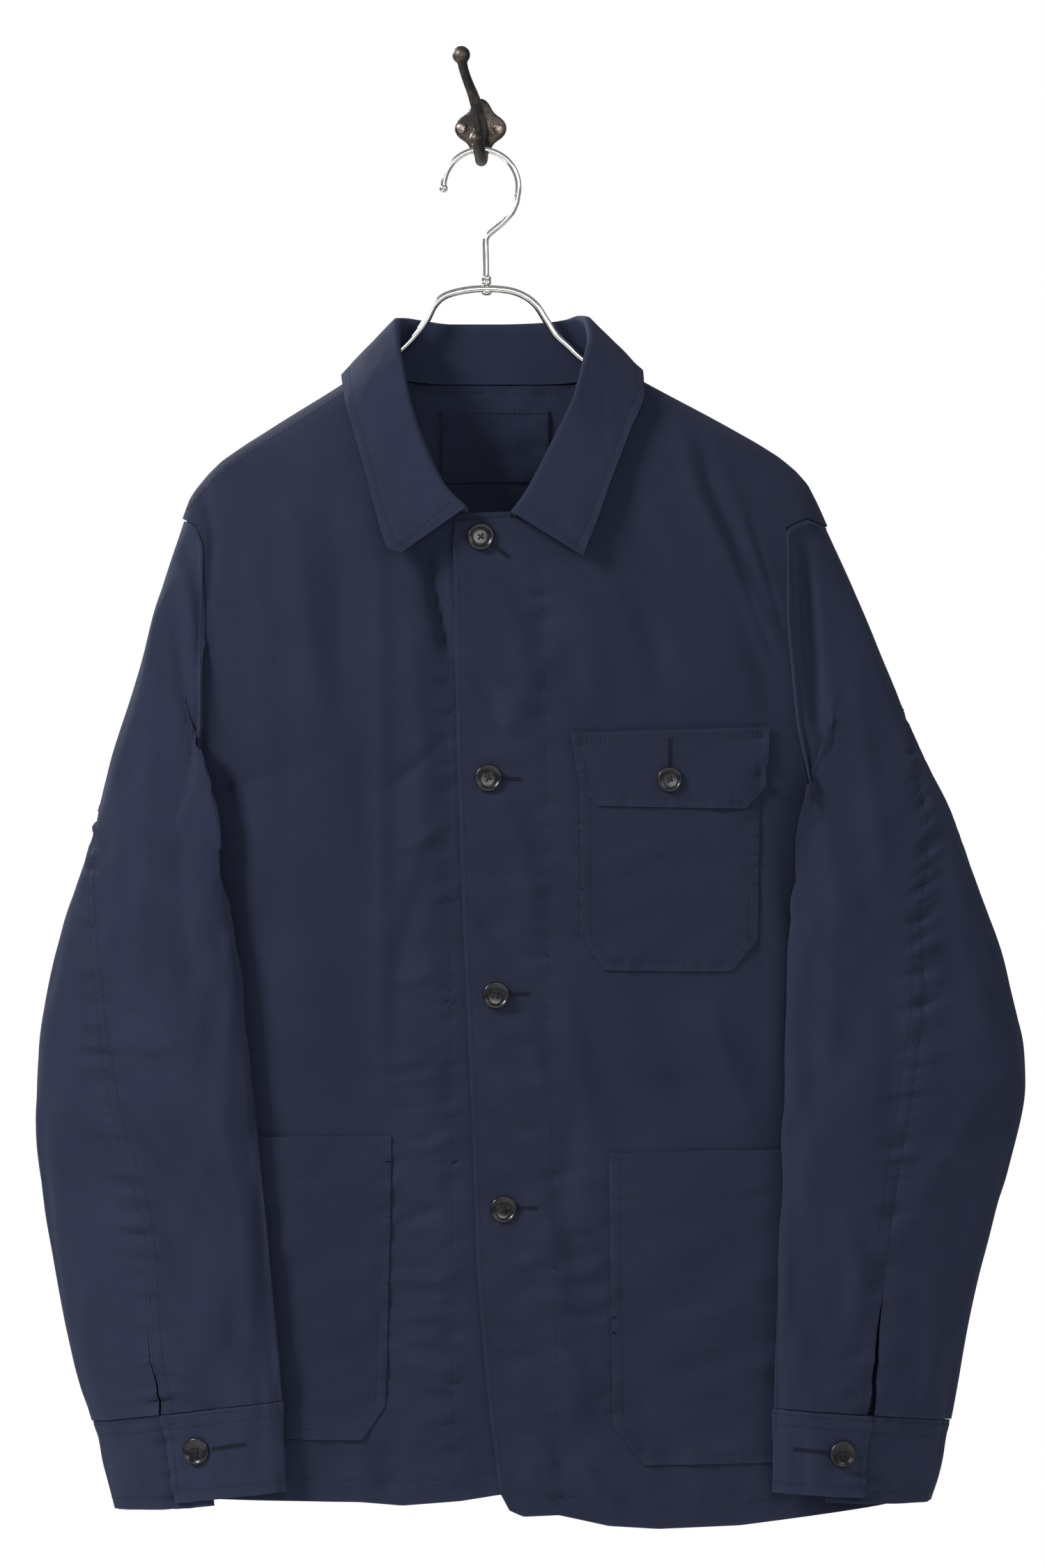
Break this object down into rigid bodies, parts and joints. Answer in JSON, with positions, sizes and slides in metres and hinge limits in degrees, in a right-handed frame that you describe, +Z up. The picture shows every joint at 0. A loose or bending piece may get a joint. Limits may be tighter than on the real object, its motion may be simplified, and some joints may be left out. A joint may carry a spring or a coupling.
{
  "type": "coverall jacket on a hanger and wall hook",
  "caption": "Dark navy cotton coverall jacket with buttoned front, turned-down collar, patch pockets and long cuffed sleeves, on a bent-wire hanger hung from a cast wall hook.",
  "frame": {"origin": "centre of the wall hook's back face, on the wall", "axes": "+Y out of the back face into the wall, +Z up, the jacket's front faces -Y"},
  "size_m": [0.6394, 0.0954, 0.9596],
  "materials": {
    "navy_twill": "matte",
    "navy_patch": "matte",
    "black_button": "glossy",
    "polished_steel": "polished",
    "cast_iron": "worn antique",
    "bronzed_screw": "dull bronze"
  },
  "bodies": {
    "root": {"back": "navy_twill", "front_right": "navy_twill", "front_left": "navy_twill", "collar": "navy_twill", "sleeve_right_top": "navy_twill", "sleeve_right_under": "navy_twill", "sleeve_left_top": "navy_twill", "sleeve_left_under": "navy_twill", "cuff_right": "navy_twill", "cuff_left": "navy_twill", "chest_pocket": "navy_patch", "chest_flap": "navy_patch", "pocket_right": "navy_patch", "pocket_left": "navy_patch", "neck_patch": "navy_patch", "button_front_1": "black_button", "button_front_2": "black_button", "button_front_3": "black_button", "button_front_4": "black_button", "button_flap": "black_button", "button_cuff_right": "black_button", "button_cuff_left": "black_button", "hanger_wire": "polished_steel", "hanger_hook": "polished_steel", "hanger_nut": "polished_steel", "hanger_rivet": "polished_steel", "wall_hook": "cast_iron", "hook_screw_right": "bronzed_screw", "hook_screw_left": "bronzed_screw"}
  },
  "joints": []
}
